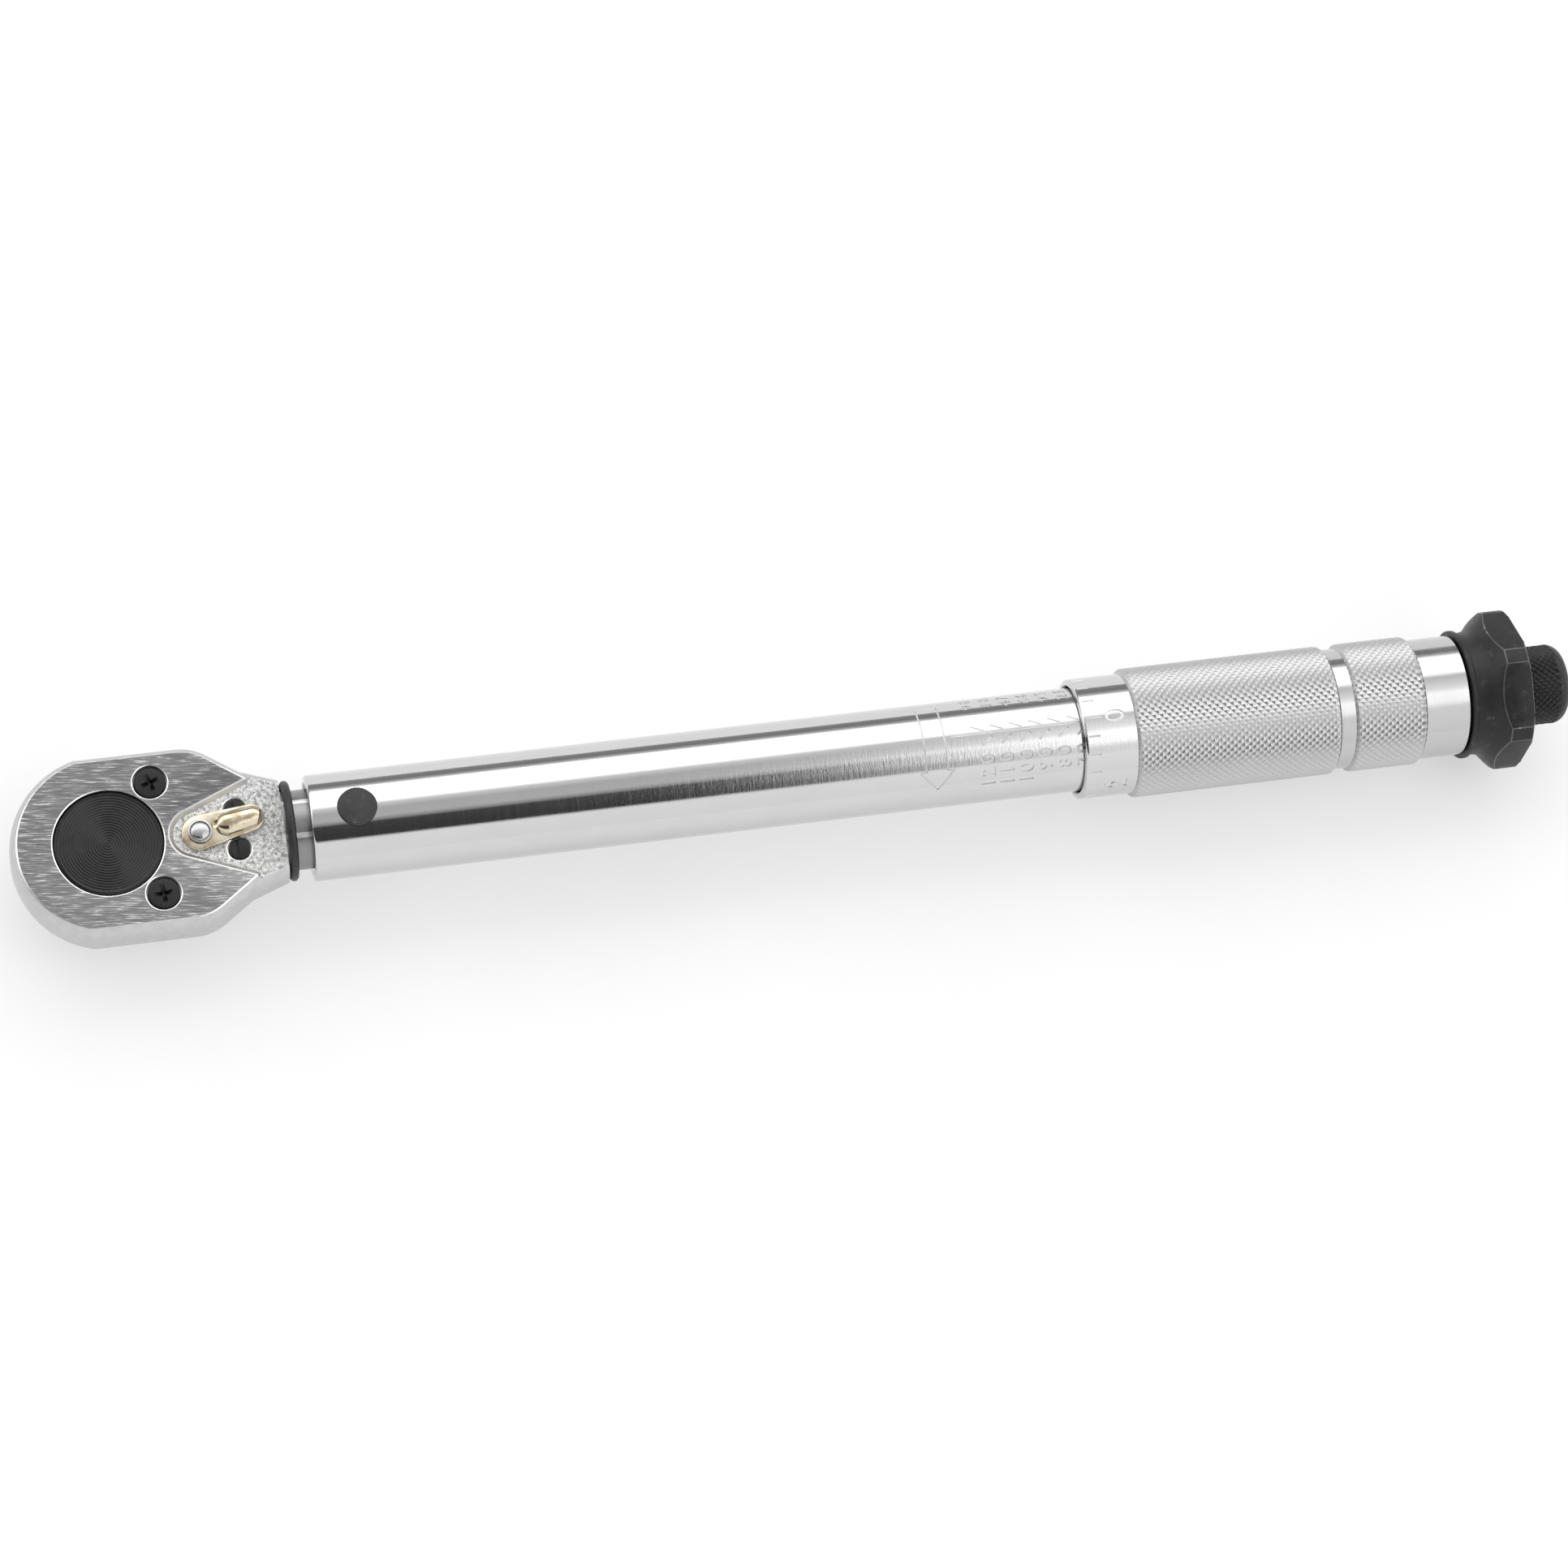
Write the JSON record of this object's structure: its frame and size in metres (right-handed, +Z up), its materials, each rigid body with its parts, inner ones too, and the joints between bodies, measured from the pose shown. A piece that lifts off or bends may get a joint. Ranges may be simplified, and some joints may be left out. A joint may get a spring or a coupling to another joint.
{
  "type": "click torque wrench",
  "caption": "Click torque wrench: reversible ratchet head with a square drive, chromed scale tube, knurled setting grip, black hex end nut and locking knob.",
  "frame": {"origin": "middle of the square drive's end face", "axes": "+X along the wrench from the drive to the grip, +Z up from the square drive to the ratchet disc, so the drive turns about Z and the tube's axis is parallel to X, 18 mm above the origin"},
  "size_m": [0.3469, 0.0404, 0.0357],
  "materials": {
    "brushed": "forged head, ground faces brushed lengthwise, polished side wall",
    "black": "black oxide, satin",
    "steel": "plain turned steel",
    "spring": "spring wire",
    "gold": "pale yellow plated steel, polished",
    "rubber": "black rubber",
    "chrome": "bright chrome plate",
    "brass": "machined brass"
  },
  "bodies": {
    "tube": {"tube": "chrome", "pivot_pin": "black", "adjuster_nut": "brass", "nut_pin_1": "steel", "nut_pin_2": "steel"},
    "head": {"head_body": "brushed", "cover_plate": "steel", "cover_screw_1": "black", "cover_screw_2": "black", "pawl_pivot_1": "black", "pawl_pivot_2": "black", "neck_o_ring": "rubber", "pawl_spring_1": "spring", "pawl_spring_2": "spring", "detent_spring": "spring"},
    "drive": {"ratchet_gear": "black", "socket_ball_spring": "spring"},
    "socket_ball": {"socket_ball": "steel"},
    "lever": {"reverse_lever": "gold", "lever_shaft": "steel"},
    "pawl_a": {"pawl_1": "steel"},
    "pawl_b": {"pawl_2": "steel"},
    "detent": {"detent_plunger": "steel"},
    "plunger": {"plunger": "steel", "main_spring": "spring"},
    "tilt_block": {"tilt_block": "steel"},
    "seat": {"spring_seat": "steel", "thrust_ball": "steel"},
    "grip": {"grip": "chrome", "adjusting_screw": "steel", "end_nut": "black", "lock_pin_1": "brass", "lock_pin_2": "brass"},
    "lock": {"lock_rod": "steel"},
    "knob": {"lock_knob": "black"}
  },
  "joints": [
    {"name": "head_tilt", "type": "hinge", "parent": "tube", "child": "head", "pos_m": [0.0528, 0, 0.018], "axis": [0, 0, 1], "range_deg": [0, 2], "stiffness_Nm_per_rad": 20, "springref_deg": -1.15},
    {"name": "plunger_push", "type": "slide", "parent": "tube", "child": "plunger", "axis": [1, 0, 0], "range_m": [0, 0.00145]},
    {"name": "block_tilt", "type": "hinge", "parent": "plunger", "child": "tilt_block", "pos_m": [0.1083, 0.0035, 0.018], "axis": [0, 0, 1], "range_deg": [-13.6, 0]},
    {"name": "drive_spin", "type": "hinge", "parent": "head", "child": "drive", "pos_m": [0, 0, 0.018], "axis": [0, 0, 1], "continuous": true},
    {"name": "ball_press", "type": "slide", "parent": "drive", "child": "socket_ball", "axis": [1, 0, 0], "range_m": [0, 0.0009], "stiffness_N_per_m": 200, "deforming": ["socket_ball_spring"]},
    {"name": "lever_turn", "type": "hinge", "parent": "head", "child": "lever", "pos_m": [0.0194, 0, 0.018], "axis": [0, 0, 1], "range_deg": [-21, 0]},
    {"name": "pawl_a_rock", "type": "hinge", "parent": "head", "child": "pawl_a", "pos_m": [0.0273, 0.0044, 0.018], "axis": [0, 0, 1], "range_deg": [-3.5, 0], "deforming": ["pawl_spring_1"]},
    {"name": "pawl_b_rock", "type": "hinge", "parent": "head", "child": "pawl_b", "pos_m": [0.0273, -0.0044, 0.018], "axis": [0, 0, 1], "range_deg": [-3.5, 0], "deforming": ["pawl_spring_2"]},
    {"name": "detent_push", "type": "slide", "parent": "head", "child": "detent", "axis": [1, 0, 0], "range_m": [0, 0.0006], "stiffness_N_per_m": 300, "deforming": ["detent_spring"]},
    {"name": "adjust_slide", "type": "slide", "parent": "tube", "child": "seat", "axis": [1, 0, 0], "range_m": [-0.02, 0.02], "deforming": ["main_spring"]},
    {"name": "grip_turn", "type": "hinge", "parent": "seat", "child": "grip", "pos_m": [0.25, 0, 0.018], "axis": [1, 0, 0], "range_deg": [-1675, 1675]},
    {"name": "lock_advance", "type": "slide", "parent": "grip", "child": "lock", "axis": [1, 0, 0], "range_m": [0, 0.00187]},
    {"name": "lock_turn", "type": "hinge", "parent": "lock", "child": "knob", "pos_m": [0.32, 0, 0.018], "axis": [1, 0, 0], "range_deg": [0, 540]}
  ],
  "couplings": [
    {"joint": "plunger_push", "follows": "head_tilt", "m_per_rad": 0.0415},
    {"joint": "block_tilt", "follows": "head_tilt", "ratio": -6.8},
    {"joint": "pawl_a_rock", "follows": "lever_turn", "ratio": 0.16667},
    {"joint": "pawl_b_rock", "follows": "lever_turn", "ratio": 0.16667},
    {"joint": "grip_turn", "follows": "adjust_slide", "rad_per_m": 1461.2},
    {"joint": "lock_turn", "follows": "lock_advance", "rad_per_m": 5026.5}
  ]
}
